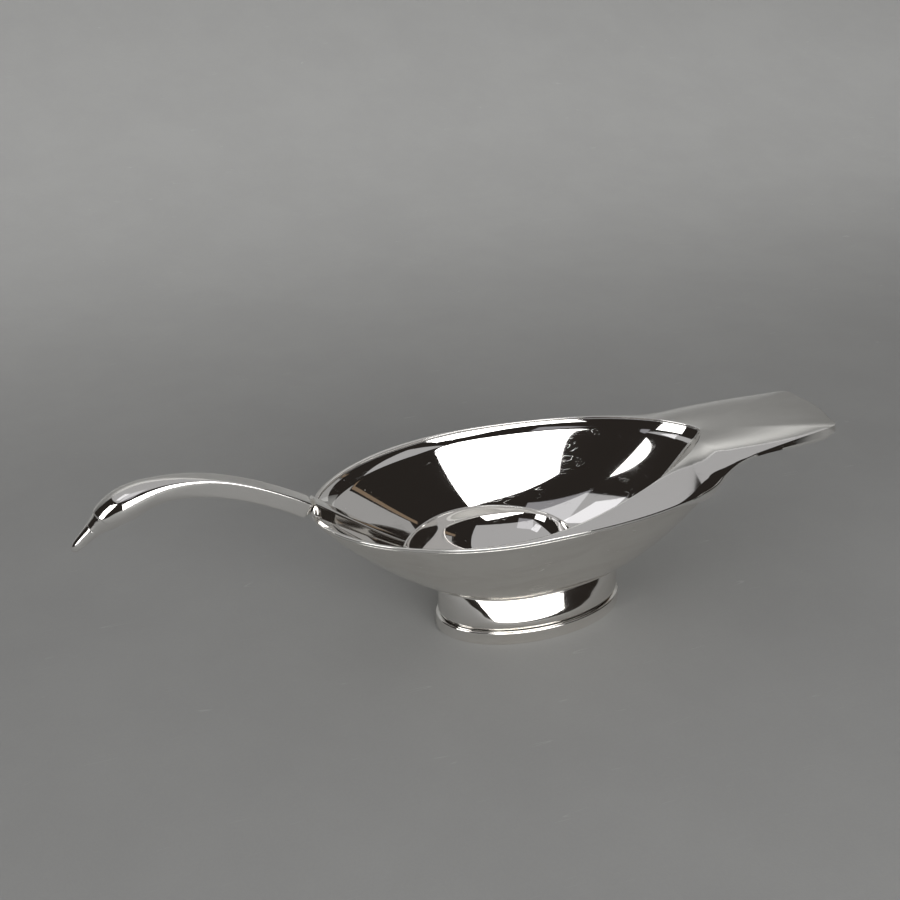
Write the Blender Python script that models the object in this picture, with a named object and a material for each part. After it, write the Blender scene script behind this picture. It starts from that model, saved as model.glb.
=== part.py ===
"""Swan-form gravy boat with its lift-out ladle, as separate sheet-metal pieces.

The boat is a pressed hull, an inner bowl, a top plate that forms the rim, the
wings and the tail, and a foot of three rings.  The ladle is a bowl, a stem and
a cast neck that ends in the swan's head.  All lengths below are millimetres in
the boat's own frame: x runs from the head (minus) to the tail (plus), z is up
from the table, and x = 0 is the middle of the foot.
"""
import math
from collections import namedtuple

import bmesh
import bpy
from mathutils import Vector

MM = 0.001

# Clearances and sheet thicknesses
GAP = 0.3
SHEET = 0.8
PLATE = 0.9
# A leaning wall's square edge stands this share of its sheet above its line
LEANING_EDGE = 0.7

# Opening of the bowl, seen from above
OPENING_NOSE_X = -94.0
OPENING_WIDEST_X = -18.0
OPENING_REAR_X = 80.0
OPENING_HALF_WIDTH = 48.4
RIM_Z = 67.8
RIM_RISE = 8.6
RIM_RISE_START_X = OPENING_NOSE_X + 24.0
RIM_RISE_POWER = 1.5
RIM_WIDTH = 2.1

# Hull
HULL_REAR_X = OPENING_REAR_X + 8.0
HULL_BOTTOM_Z = 19.0
BOWL_CENTRE_X = -5.0

# Inner bowl: a flared lip under the rim, then the wall down to the floor
LIP_HEIGHT = 4.0
LIP_INSET = 2.2
LIP_NOSE_INSET = 5.6
FLOOR_CLEARANCE = 0.6
BOWL_FLOOR_Z = HULL_BOTTOM_Z + SHEET + GAP + SHEET + FLOOR_CLEARANCE

# Wings
WING_END_X = OPENING_REAR_X - 14.0
WING_LEVEL_END = 6.0
WING_LIFT = 0.8
WING_EDGE_Z = RIM_Z + WING_LIFT
WING_RISE_SHARE = 0.8
WING_CROWN = 1.0
WING_BROAD = 20.0

# Tail, and the fillet from the wings into it
TAIL_ROOT_X = OPENING_REAR_X + 6.0
TAIL_ROOT_HALF = 27.3
TAIL_ROOT_LIFT = 5.8
TAIL_LENGTH = 55.5
TAIL_TIP_LIFT = 9.7
TAIL_END_HALF = 21.0
TAIL_CORNER = 6.5
TAIL_END_BOW = 2.0
FILLET_AT_WING = 4.0
FILLET_AT_TAIL = 9.0
EDGE_TURN = 1.4
TAIL_SIDE_TURN = 5.0
TAIL_SIDE_FLARE = 0.35
TAIL_END_TURN = 2.4
TAIL_ROOT_Z = RIM_Z + TAIL_ROOT_LIFT
TAIL_TIP_X = TAIL_ROOT_X + TAIL_LENGTH
TAIL_TIP_Z = RIM_Z + TAIL_TIP_LIFT
# Share of the opening's half turn that the wings look back to
WING_TURN_SHARE = 0.79
# The plate's underside stops this share of the way in from its edge
UNDERSIDE_REACH = 0.9

# Foot
FOOT_HALF_LENGTH = 43.2
FOOT_HALF_WIDTH = 24.7
FOOT_BAND_HEIGHT = 6.2
FOOT_BAND_WALL = 2.6
FOOT_WALL = 1.2
FOOT_STEP = 1.1
FOOT_BEAD_Z = 8.4
FOOT_BULGE = 0.7
FOOT_TOP_END_INSET = 2.0
FOOT_TOP_SIDE_INSET = 5.8
FOOT_WALL_SHARES = (0.15, 0.45, 0.75, 1.0)
COLLAR_HEIGHT = 2.2
COLLAR_FLARE = 1.8
# Where the collar's hollow bends, as shares of its flare and its height
COLLAR_BEND = (0.3, 0.7)

# Ladle bowl, whose rim dips towards the tail
LADLE_NOSE_X = OPENING_NOSE_X + 37.0
LADLE_WIDEST_X = LADLE_NOSE_X + 44.0
LADLE_REAR_X = LADLE_NOSE_X + 77.6
LADLE_HALF_WIDTH = 28.2
LADLE_DEPTH = 16.0
LADLE_DIP = 0.12
LADLE_SHEET = 1.1

# Ladle stem
STEM_HEIGHT = 6.2
STEM_HALF_WIDTH = 5.0
STEM_END_HEIGHT = 3.2
STEM_END_HALF_WIDTH = 2.0
STEM_START_RISE = 2.0
STEM_RIM_REACH = 4.0
STEM_RIM_DIP = 2.2
STEM_BEND_SHARE = 0.6
STEM_SAG = 1.5
STEM_SQUARENESS = 0.6

# Neck, head and bill, from the opening's nose: x and z of the curve's marks
NECK_START = (-3.6, 4.6)
NECK_RISE = (-20.5, 15.2)
NECK_UNDER_CROWN = (-38.0, 23.8)
NECK_CROWN = (-56.0, 23.8)
NECK_PAST_CROWN = (-70.0, 23.8)
BILL_ROOT = (-81.0, 17.0)
BILL_TIP = (-94.2, 4.0)
NECK_BREAST_WIDTH = 1.6
NECK_BREAST_SHARE = 0.35
# Half thickness of the neck, head and bill at fractions of the length
NECK_HALF_THICKNESS = (
    (0.00, 3.9), (0.16, 4.0), (0.35, 4.4), (0.54, 5.4), (0.64, 6.3), (0.72, 6.7),
    (0.79, 6.1), (0.85, 4.9), (0.89, 3.6), (0.94, 2.4), (1.00, 0.7))

# Facets
RING_STEPS = 56
BOWL_ROWS = 10
DECK_ROWS = 4
WING_STEPS = 18
FILLET_STEPS = 4
TAIL_SIDE_STEPS = 4
TAIL_CORNER_STEPS = 4
TAIL_END_STEPS = 3
LADLE_RING_STEPS = 40
LADLE_ROWS = 8
NECK_STATIONS = 24
NECK_SIDES = 14
STEM_STATIONS = 8
STEM_SIDES = 12
SEARCH_STEPS = 40
SEARCH_ROWS = 4
SLOPE_STEP = 0.0001

Outline = namedtuple("Outline", "nose widest rear half front rear_curve")
Curve = namedtuple("Curve", "power exponent")
Profile = namedtuple("Profile", "front side rear")

OPENING = Outline(OPENING_NOSE_X, OPENING_WIDEST_X, OPENING_REAR_X, OPENING_HALF_WIDTH,
                  Curve(2.0, 0.56), Curve(1.6, 0.70))
HULL = Outline(OPENING_NOSE_X - RIM_WIDTH, OPENING_WIDEST_X + RIM_WIDTH, HULL_REAR_X,
               OPENING_HALF_WIDTH + RIM_WIDTH, Curve(2.0, 0.56), Curve(2.0, 0.34))
LADLE = Outline(LADLE_NOSE_X, LADLE_WIDEST_X, LADLE_REAR_X, LADLE_HALF_WIDTH,
                Curve(2.0, 0.85), Curve(2.1, 0.42))

# How the wall leaves the rim and reaches the floor, towards the nose, the
# sides and the rear: radius share = (1 - depth share ** power) ** (1 / exponent)
HULL_PROFILE = Profile(Curve(1.15, 1.8), Curve(1.1, 3.2), Curve(0.6, 3.2))
BOWL_PROFILE = Profile(Curve(1.05, 1.75), Curve(1.05, 3.0), Curve(0.85, 2.6))
LADLE_PROFILE = Profile(Curve(1.3, 2.4), Curve(1.3, 3.0), Curve(1.3, 3.0))


def clear_scene():
    for item in list(bpy.data.objects):
        bpy.data.objects.remove(item)


def metal(name, colour, roughness):
    """A silver-plated finish."""
    material = bpy.data.materials.new(name)
    material.use_nodes = True
    shader = material.node_tree.nodes["Principled BSDF"]
    shader.inputs["Base Color"].default_value = (*colour, 1.0)
    shader.inputs["Roughness"].default_value = roughness
    shader.inputs["Metallic"].default_value = 1.0
    return material


def smooth_step(share):
    share = min(max(share, 0.0), 1.0)
    return share * share * (3.0 - 2.0 * share)


def mix(a, b, share):
    return a + (b - a) * share


def bezier(a, b, c, d, share):
    """A point on a cubic curve."""
    rest = 1.0 - share
    weights = (rest ** 3, 3 * rest ** 2 * share, 3 * rest * share ** 2, share ** 3)
    return tuple(sum(w * p[i] for w, p in zip(weights, (a, b, c, d))) for i in range(2))


def through(stations, at):
    """Value of the smooth curve through (place, value) stations."""
    last = len(stations) - 1
    if at <= stations[0][0]:
        return stations[0][1]
    if at >= stations[last][0]:
        return stations[last][1]
    i = next(k for k in range(last) if at <= stations[k + 1][0])

    def slope(k):
        before = stations[max(k - 1, 0)]
        after = stations[min(k + 1, last)]
        return (after[1] - before[1]) / (after[0] - before[0])

    (x0, y0), (x1, y1) = stations[i], stations[i + 1]
    span = x1 - x0
    t = (at - x0) / span
    return ((2 * t ** 3 - 3 * t ** 2 + 1) * y0 + (t ** 3 - 2 * t ** 2 + t) * span * slope(i)
            + (3 * t ** 2 - 2 * t ** 3) * y1 + (t ** 3 - t ** 2) * span * slope(i + 1))


# ---------------------------------------------------------------- outlines

def half_width(outline, x):
    """Half width of an outline at x."""
    if x < outline.widest:
        reach, curve = outline.widest - outline.nose, outline.front
    else:
        reach, curve = outline.rear - outline.widest, outline.rear_curve
    share = min(abs(x - outline.widest) / reach, 1.0)
    return outline.half * max(1.0 - share ** curve.power, 0.0) ** curve.exponent


def outline_point(outline, turn):
    """Point of the outline at an angle that is 0 at the nose and pi at the rear."""
    middle = 0.5 * (outline.nose + outline.rear)
    x = middle - 0.5 * (outline.rear - outline.nose) * math.cos(turn)
    side = half_width(outline, x)
    return x, math.copysign(side, math.sin(turn))


def ring_turns(steps):
    return [2.0 * math.pi * (i + 0.5) / steps for i in range(steps)]


def radius_towards(outline, centre_x, dx, dy):
    """Distance from the centre to the outline in the direction (dx, dy)."""
    low, high = 0.0, math.pi
    wanted = math.atan2(abs(dy), dx)
    for _ in range(SEARCH_STEPS):
        turn = 0.5 * (low + high)
        x, y = outline_point(outline, turn)
        if math.atan2(abs(y), x - centre_x) > wanted:
            low = turn
        else:
            high = turn
    x, y = outline_point(outline, 0.5 * (low + high))
    return math.hypot(x - centre_x, y)


def wall_curve(profile, outline, centre_x, x, y):
    """The wall's curve towards the rim point (x, y)."""
    along = (x - centre_x) / (outline.rear - centre_x if x > centre_x else centre_x - outline.nose)
    across = y / outline.half
    end = profile.rear if x > centre_x else profile.front
    share = along * along / max(along * along + across * across, 1e-12)
    return Curve(mix(profile.side.power, end.power, share),
                 mix(profile.side.exponent, end.exponent, share))


def wall_radius(curve, depth):
    return max(1.0 - depth ** curve.power, 0.0) ** (1.0 / curve.exponent)


def wall_depth(curve, radius):
    return max(1.0 - min(radius, 1.0) ** curve.exponent, 0.0) ** (1.0 / curve.power)


def wall_depths(rows):
    """Depth shares from the rim to just above the floor, closer near the floor."""
    return [math.sin(0.5 * math.pi * i / rows) for i in range(rows)]


# ---------------------------------------------------------------- heights

def rim_z(x):
    """Height of the opening's edge, which climbs towards the tail."""
    share = (x - RIM_RISE_START_X) / (OPENING_REAR_X - RIM_RISE_START_X)
    return RIM_Z + RIM_RISE * smooth_step(share) ** RIM_RISE_POWER


def plate_edge_z(x):
    """Height of the top plate's outer edge."""
    widest_z = mix(RIM_Z, WING_EDGE_Z, WING_RISE_SHARE)
    return through(((HULL.nose, RIM_Z), (OPENING_WIDEST_X, widest_z),
                    (WING_END_X - WING_LEVEL_END, WING_EDGE_Z), (TAIL_ROOT_X, TAIL_ROOT_Z),
                    (TAIL_TIP_X, TAIL_TIP_Z)), x)


def hull_edge_z(x, y):
    """The hull's edge, just under the turned-down edge of the plate.  The sheet's
    edge is square to its leaning wall, so its inner corner stands a little higher.
    Behind the wings the edge climbs with the tail that covers it."""
    seat = min(plate_edge_z(x), WING_EDGE_Z) - EDGE_TURN - GAP - LEANING_EDGE * SHEET
    climb = TAIL_ROOT_Z - WING_EDGE_Z
    crown = (RIM_Z + RIM_RISE - TAIL_ROOT_Z) * (1.0 - (y / TAIL_ROOT_HALF) ** 2)
    return seat + smooth_step((x - WING_END_X) / (HULL_REAR_X - WING_END_X)) * (climb + crown)


def bowl_edge_z(x):
    """The inner bowl's edge, just under the plate at the opening."""
    return rim_z(x) - PLATE - GAP


def lip_share(x, y):
    """Radius share left inside the flared lip, which leans most at the nose."""
    radius = math.hypot(x - BOWL_CENTRE_X, y)
    forward = max(BOWL_CENTRE_X - x, 0.0) / radius
    return 1.0 - mix(LIP_INSET, LIP_NOSE_INSET, forward ** 2) / radius


def hull_underside_z(x, y):
    """Height of the hull's outside over the point (x, y)."""
    dx = x - BOWL_CENTRE_X
    radius = radius_towards(HULL, BOWL_CENTRE_X, dx, y)
    out = math.hypot(dx, y)
    edge_x = BOWL_CENTRE_X + dx * radius / max(out, 1e-9)
    edge_y = y * radius / max(out, 1e-9)
    curve = wall_curve(HULL_PROFILE, HULL, BOWL_CENTRE_X, edge_x, edge_y)
    top = hull_edge_z(edge_x, edge_y)
    return mix(top, HULL_BOTTOM_Z, wall_depth(curve, out / radius))


def bowl_inside_z(x, y):
    """Height of the inner bowl's wetted face over the point (x, y)."""
    dx = x - BOWL_CENTRE_X
    radius = radius_towards(OPENING, BOWL_CENTRE_X, dx, y)
    out = math.hypot(dx, y)
    edge_x = BOWL_CENTRE_X + dx * radius / max(out, 1e-9)
    edge_y = y * radius / max(out, 1e-9)
    curve = wall_curve(BOWL_PROFILE, OPENING, BOWL_CENTRE_X, edge_x, edge_y)
    top = bowl_edge_z(edge_x) - LIP_HEIGHT
    wall_share = lip_share(edge_x, edge_y)
    return mix(top, BOWL_FLOOR_Z, wall_depth(curve, out / radius / wall_share))


# ---------------------------------------------------------------- solids

def build_object(name, points, faces, material, parent):
    """A named object from points in millimetres."""
    mesh = bpy.data.meshes.new(name)
    mesh.from_pydata([[c * MM for c in p] for p in points], [], faces)
    mesh.validate()
    work = bmesh.new()
    work.from_mesh(mesh)
    bmesh.ops.recalc_face_normals(work, faces=work.faces)
    work.to_mesh(mesh)
    work.free()
    mesh.shade_smooth()
    mesh.set_sharp_from_angle(angle=math.radians(40.0))
    mesh.materials.append(material)
    item = bpy.data.objects.new(name, mesh)
    bpy.context.scene.collection.objects.link(item)
    item.parent = parent
    return item


def skin(rings, closed):
    """Quads between successive rings, which may close on themselves."""
    steps = len(rings[0])
    points = [p for ring in rings for p in ring]
    faces = []
    for r in range(len(rings) - (0 if closed else 1)):
        a = r * steps
        b = ((r + 1) % len(rings)) * steps
        for i in range(steps):
            j = (i + 1) % steps
            faces.append((a + i, a + j, b + j, b + i))
    return points, faces


def ring_solid(name, rings, material, parent):
    """A ring-shaped solid: its cross-section is carried round the outline."""
    points, faces = skin(rings, closed=True)
    return build_object(name, points, faces, material, parent)


def bar_solid(name, rings, material, parent):
    """A bar-shaped solid with both ends capped."""
    points, faces = skin(rings, closed=False)
    steps = len(rings[0])
    faces.append(tuple(range(steps)))
    faces.append(tuple(len(points) - 1 - i for i in range(steps)))
    return build_object(name, points, faces, material, parent)


def cup_solid(name, rings, pole, thickness, hollow_up, material, parent):
    """An open cup from its shaping face, thickened away from its visible side."""
    points, faces = skin(rings, closed=False)
    steps = len(rings[0])
    first = len(points) - steps
    points.append(pole)
    for i in range(steps):
        faces.append((first + i, first + (i + 1) % steps, len(points) - 1))
    cup = build_object(name, points, faces, material, parent)
    set_facing(cup.data, hollow_up)
    wall = cup.modifiers.new("Sheet", 'SOLIDIFY')
    wall.thickness = thickness * MM
    wall.offset = -1.0
    wall.use_even_offset = True
    return cup


def set_facing(mesh, upwards):
    """Turn an open cup's faces to its hollow side or to its outside."""
    lowest = min(mesh.polygons, key=lambda face: face.center.z)
    if (lowest.normal.z > 0.0) != upwards:
        mesh.flip_normals()


# ---------------------------------------------------------------- boat

def hull_shell(material, parent):
    rings = []
    for depth in wall_depths(BOWL_ROWS):
        ring = []
        for turn in ring_turns(RING_STEPS):
            x, y = outline_point(HULL, turn)
            share = wall_radius(wall_curve(HULL_PROFILE, HULL, BOWL_CENTRE_X, x, y), depth)
            z = mix(hull_edge_z(x, y), HULL_BOTTOM_Z, depth)
            ring.append((BOWL_CENTRE_X + (x - BOWL_CENTRE_X) * share, y * share, z))
        rings.append(ring)
    pole = (BOWL_CENTRE_X, 0.0, HULL_BOTTOM_Z)
    return cup_solid("hull_shell", rings, pole, SHEET, False, material, parent)


def inner_bowl(material, parent):
    rings = [[(*outline_point(OPENING, t), bowl_edge_z(outline_point(OPENING, t)[0]))
              for t in ring_turns(RING_STEPS)]]
    for depth in wall_depths(BOWL_ROWS):
        ring = []
        for turn in ring_turns(RING_STEPS):
            x, y = outline_point(OPENING, turn)
            share = wall_radius(wall_curve(BOWL_PROFILE, OPENING, BOWL_CENTRE_X, x, y), depth)
            share *= lip_share(x, y)
            z = mix(bowl_edge_z(x) - LIP_HEIGHT, BOWL_FLOOR_Z, depth)
            ring.append((BOWL_CENTRE_X + (x - BOWL_CENTRE_X) * share, y * share, z))
        rings.append(ring)
    pole = (BOWL_CENTRE_X, 0.0, BOWL_FLOOR_Z)
    return cup_solid("inner_bowl", rings, pole, SHEET, True, material, parent)


def plate_outline():
    """Outer edge of the top plate from the nose to the tail's tip, y >= 0, with
    the angle of the opening that each point looks back to."""
    half_span = 0.5 * (HULL.rear - HULL.nose)
    wing_turn = math.acos((0.5 * (HULL.nose + HULL.rear) - WING_END_X) / half_span)
    edge = [outline_point(HULL, wing_turn * (i + 0.5) / WING_STEPS) for i in range(WING_STEPS)]
    last = (WING_END_X, half_width(HULL, WING_END_X))
    ahead_x = WING_END_X + FILLET_AT_WING
    ahead = (ahead_x, half_width(HULL, ahead_x))
    root = (TAIL_ROOT_X, TAIL_ROOT_HALF)
    corner = (TAIL_TIP_X - TAIL_END_BOW - TAIL_CORNER, TAIL_END_HALF)
    taper = (corner[1] - root[1]) / (corner[0] - root[0])
    before = (root[0] - FILLET_AT_TAIL, root[1] - FILLET_AT_TAIL * taper)
    edge += [bezier(last, ahead, before, root, i / FILLET_STEPS) for i in range(FILLET_STEPS)]
    edge += [(mix(root[0], corner[0], i / TAIL_SIDE_STEPS), mix(root[1], corner[1], i / TAIL_SIDE_STEPS))
             for i in range(TAIL_SIDE_STEPS)]
    turned = (TAIL_TIP_X - TAIL_END_BOW, TAIL_END_HALF - TAIL_CORNER)
    square = (TAIL_TIP_X - TAIL_END_BOW, TAIL_END_HALF + taper * TAIL_CORNER)
    edge += [bezier(corner, square, square, turned, i / TAIL_CORNER_STEPS)
             for i in range(TAIL_CORNER_STEPS)]
    for i in range(TAIL_END_STEPS):
        share = (i + 0.5) / (TAIL_END_STEPS + 0.5)
        edge.append((turned[0] + TAIL_END_BOW * (1.0 - (1.0 - share) ** 2), turned[1] * (1.0 - share)))
    turns = []
    for i in range(len(edge)):
        if i < WING_STEPS:
            share = WING_TURN_SHARE * (i + 0.5) / WING_STEPS
        else:
            share = mix(WING_TURN_SHARE, 1.0, (i - WING_STEPS + 0.5) / (len(edge) - WING_STEPS))
        turns.append(math.pi * share)
    return edge, turns


def edge_turn_down(x):
    """How far the plate's edge is turned down at x."""
    share = (x - TAIL_ROOT_X) / (TAIL_TIP_X - TAIL_END_BOW - TAIL_CORNER - TAIL_ROOT_X)
    if share <= 1.0:
        return mix(EDGE_TURN, TAIL_SIDE_TURN, max(share, 0.0))
    end = (x - TAIL_TIP_X + TAIL_END_BOW + TAIL_CORNER) / (TAIL_END_BOW + TAIL_CORNER)
    return mix(TAIL_SIDE_TURN, TAIL_END_TURN, smooth_step(end))


def side_flare(edge_point):
    """How far the turned-down edge leans out at the tail's sides."""
    beyond_sheet = edge_turn_down(edge_point[0]) - EDGE_TURN
    return TAIL_SIDE_FLARE * beyond_sheet * min(abs(edge_point[1]) / TAIL_END_HALF, 1.0)


def rim_wings_tail(material, parent):
    edge, turns = plate_outline()
    half = [(outline_point(OPENING, turn), outer) for turn, outer in zip(turns, edge)]
    mirrored = [((a[0], -a[1]), (b[0], -b[1])) for a, b in reversed(half)]
    stations = half + mirrored

    def row(share, drop, inset=0.0):
        ring = []
        for inner, outer in stations:
            length = math.dist(inner, outer)
            at = share * (1.0 - inset / length)
            crown = WING_CROWN * 4.0 * at * (1.0 - at) * min(length / WING_BROAD, 1.0)
            z = mix(rim_z(inner[0]), plate_edge_z(outer[0]), at) + crown
            down = edge_turn_down(outer[0]) if drop == "edge" else drop
            flare = side_flare(outer) if drop == "edge" else 0.0
            y = mix(inner[1], outer[1], at)
            ring.append((mix(inner[0], outer[0], at), y + math.copysign(flare, y), z - down))
        return ring

    top = [row(i / DECK_ROWS, 0.0) for i in range(DECK_ROWS + 1)]
    lip = [row(1.0, "edge"), row(1.0, "edge", PLATE)]
    under = [row(1.0, PLATE, PLATE)]
    under += [row(i / DECK_ROWS * UNDERSIDE_REACH, PLATE) for i in range(DECK_ROWS - 1, -1, -1)]
    return ring_solid("rim_wings_tail", top + lip + under, material, parent)


def foot_ring(end_inset, side_inset, height):
    """A ring of the foot, set in from its base outline; height may follow the hull."""
    ring = []
    for turn in ring_turns(RING_STEPS):
        x = (FOOT_HALF_LENGTH - end_inset) * -math.cos(turn)
        y = (FOOT_HALF_WIDTH - side_inset) * math.sin(turn)
        ring.append((x, y, height(x, y) if callable(height) else height))
    return ring


def collar_base_z(x, y):
    return hull_underside_z(x, y) - GAP - COLLAR_HEIGHT


def foot_base_band(material, parent):
    rings = [foot_ring(0.0, 0.0, 0.0), foot_ring(0.0, 0.0, FOOT_BAND_HEIGHT),
             foot_ring(FOOT_BAND_WALL, FOOT_BAND_WALL, FOOT_BAND_HEIGHT),
             foot_ring(FOOT_BAND_WALL, FOOT_BAND_WALL, 0.0)]
    return ring_solid("foot_base_band", rings, material, parent)


def foot_wall(material, parent):
    """The wall leans in towards its top, more at the sides than at the ends."""
    base = FOOT_BAND_HEIGHT + GAP

    def ring_at(share, inward):
        bulge = FOOT_BULGE * math.sin(math.pi * share)
        end = mix(FOOT_STEP, FOOT_TOP_END_INSET, share) - bulge + inward
        side = mix(FOOT_STEP, FOOT_TOP_SIDE_INSET, share) - bulge + inward

        def height(x, y):
            return mix(FOOT_BEAD_Z, collar_base_z(x, y) - GAP, share)

        return foot_ring(end, side, height)

    outside = [foot_ring(FOOT_STEP, FOOT_STEP, base), foot_ring(FOOT_STEP, FOOT_STEP, FOOT_BEAD_Z)]
    outside += [ring_at(share, 0.0) for share in FOOT_WALL_SHARES]
    inside = [ring_at(share, FOOT_WALL) for share in reversed(FOOT_WALL_SHARES)]
    inner = FOOT_STEP + FOOT_WALL
    inside.append(foot_ring(inner, inner, base))
    return ring_solid("foot_wall", outside + inside, material, parent)


def foot_collar(material, parent):
    """A hollow sweep from the wall's top out to the hull."""
    bend_out, bend_up = COLLAR_BEND[0] * COLLAR_FLARE, COLLAR_BEND[1] * COLLAR_HEIGHT

    def ring_at(outward, height):
        return foot_ring(FOOT_TOP_END_INSET - outward, FOOT_TOP_SIDE_INSET - outward, height)

    def under_hull(x, y):
        return hull_underside_z(x, y) - GAP

    def bend(x, y):
        return collar_base_z(x, y) + bend_up

    rings = [ring_at(0.0, collar_base_z), ring_at(bend_out, bend), ring_at(COLLAR_FLARE, under_hull),
             ring_at(-FOOT_WALL, under_hull), ring_at(-FOOT_WALL, collar_base_z)]
    return ring_solid("foot_collar", rings, material, parent)


# ---------------------------------------------------------------- ladle

def ladle_point(turn, depth):
    """Point of the ladle bowl's inside, with its rim's middle at height zero."""
    x, y = outline_point(LADLE, turn)
    share = wall_radius(wall_curve(LADLE_PROFILE, LADLE, LADLE_WIDEST_X, x, y), depth)
    px = LADLE_WIDEST_X + (x - LADLE_WIDEST_X) * share
    return Vector((px, y * share, -LADLE_DIP * (px - LADLE_WIDEST_X) - LADLE_DEPTH * depth))


def ladle_outside(turn, depth):
    """Point of the ladle bowl's outside, straight through the sheet."""
    here = ladle_point(turn, depth)
    along = ladle_point(turn + SLOPE_STEP, depth) - here
    down = ladle_point(turn, depth + SLOPE_STEP) - here
    out = along.cross(down).normalized()
    if out.z > 0.0:
        out.negate()
    return here + out * LADLE_SHEET


def ladle_rim_z():
    """Height at which the ladle bowl comes to rest on the inner bowl."""
    rows = SEARCH_ROWS * LADLE_ROWS
    highest = -math.inf
    for i in range(1, rows):
        depth = math.sin(0.5 * math.pi * i / rows)
        for turn in ring_turns(LADLE_RING_STEPS):
            x, y, z = ladle_outside(turn, depth)
            highest = max(highest, bowl_inside_z(x, y) - z)
    return highest + GAP


def ladle_bowl(rest_z, material, parent):
    rings = []
    for depth in wall_depths(LADLE_ROWS):
        ring = [ladle_point(turn, depth) for turn in ring_turns(LADLE_RING_STEPS)]
        rings.append([(x, y, z + rest_z) for x, y, z in ring])
    pole = (LADLE_WIDEST_X, 0.0, rest_z - LADLE_DEPTH)
    return cup_solid("ladle_bowl", rings, pole, LADLE_SHEET, True, material, parent)


def rounded_section(centre, across, up, half_wide, half_high, sides, squareness):
    """A closed section: an ellipse that squareness pushes towards a rectangle."""
    ring = []
    for i in range(sides):
        turn = 2.0 * math.pi * (i + 0.5) / sides
        c = math.copysign(abs(math.cos(turn)) ** squareness, math.cos(turn))
        s = math.copysign(abs(math.sin(turn)) ** squareness, math.sin(turn))
        ring.append(tuple(centre + across * (half_wide * c) + up * (half_high * s)))
    return ring


def sweep(path, size, sides, squareness):
    """Sections along a path in the middle plane; size gives half width and height."""
    across = Vector((0.0, 1.0, 0.0))
    rings = []
    last = len(path) - 1
    for i, (x, z) in enumerate(path):
        ax, az = path[max(i - 1, 0)]
        bx, bz = path[min(i + 1, last)]
        ahead = Vector((bx - ax, 0.0, bz - az)).normalized()
        up = ahead.cross(across)
        half_wide, half_high = size(i / last)
        rings.append(rounded_section(Vector((x, 0.0, z)), across, up, half_wide, half_high,
                                     sides, squareness))
    return rings


def ladle_stem(rest_z, material, parent):
    """Tapered bar from the neck over the rim and down to the ladle bowl."""
    rim_top = RIM_Z + GAP
    start = (HULL.nose - GAP, rim_top + 0.5 * STEM_HEIGHT + STEM_START_RISE)
    over_rim = (OPENING_NOSE_X + STEM_RIM_REACH, rim_top + 0.5 * STEM_HEIGHT - STEM_RIM_DIP)
    end_x = LADLE_NOSE_X - LADLE_SHEET - GAP
    end = (end_x, rest_z + LADLE_DIP * (LADLE_WIDEST_X - end_x) + 0.5 * STEM_END_HEIGHT)
    into_bowl = (mix(over_rim[0], end[0], STEM_BEND_SHARE),
                 mix(over_rim[1], end[1], STEM_BEND_SHARE) - STEM_SAG)
    path = [bezier(start, over_rim, into_bowl, end, i / STEM_STATIONS)
            for i in range(STEM_STATIONS + 1)]

    def size(share):
        return (mix(STEM_HALF_WIDTH, STEM_END_HALF_WIDTH, share),
                0.5 * mix(STEM_HEIGHT, STEM_END_HEIGHT, share))

    return bar_solid("ladle_stem", sweep(path, size, STEM_SIDES, STEM_SQUARENESS), material, parent)


def swan_neck_head(material, parent):
    """Cast neck, head and bill, in one sweep from the rim to the bill's tip."""
    marks = [(OPENING_NOSE_X + dx, RIM_Z + dz) for dx, dz in
             (NECK_START, NECK_RISE, NECK_UNDER_CROWN, NECK_CROWN,
              NECK_PAST_CROWN, BILL_ROOT, BILL_TIP)]
    half = NECK_STATIONS // 2
    path = [bezier(*marks[0:4], i / half) for i in range(half)]
    path += [bezier(*marks[3:7], i / half) for i in range(half + 1)]

    def size(share):
        thickness = through(NECK_HALF_THICKNESS, share)
        return thickness * mix(NECK_BREAST_WIDTH, 1.0, smooth_step(share / NECK_BREAST_SHARE)), thickness

    return bar_solid("swan_neck_head", sweep(path, size, NECK_SIDES, 1.0), material, parent)


def build():
    clear_scene()
    bright = metal("bright silver plate", (0.93, 0.91, 0.88), 0.05)
    inside = metal("polished bowl inside", (0.92, 0.90, 0.87), 0.04)
    worn = metal("worn silver plate", (0.88, 0.86, 0.82), 0.12)

    frame = bpy.data.objects.new("boat_frame", None)
    bpy.context.scene.collection.objects.link(frame)
    bill_tip_x = OPENING_NOSE_X + BILL_TIP[0]
    frame.location.x = -0.5 * (bill_tip_x + TAIL_TIP_X) * MM

    hull_shell(worn, frame)
    inner_bowl(inside, frame)
    rim_wings_tail(bright, frame)
    foot_collar(bright, frame)
    foot_wall(bright, frame)
    foot_base_band(worn, frame)

    ladle_lift = bpy.data.objects.new("ladle_lift", None)
    bpy.context.scene.collection.objects.link(ladle_lift)
    ladle_lift.parent = frame
    rest_z = ladle_rim_z()
    ladle_bowl(rest_z, inside, ladle_lift)
    ladle_stem(rest_z, bright, ladle_lift)
    swan_neck_head(bright, ladle_lift)


build()
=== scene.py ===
"""Looks of the swan-form gravy boat and its lift-out ladle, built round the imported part.

Lengths are millimetres in the boat's own frame until a piece is made: x runs
from the bill (minus) to the tail (plus), z is up from the table, and x = 0 is
the middle of the foot.
"""
import math
from collections import namedtuple

import bpy
import numpy as np
from mathutils import Matrix, Vector


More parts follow.
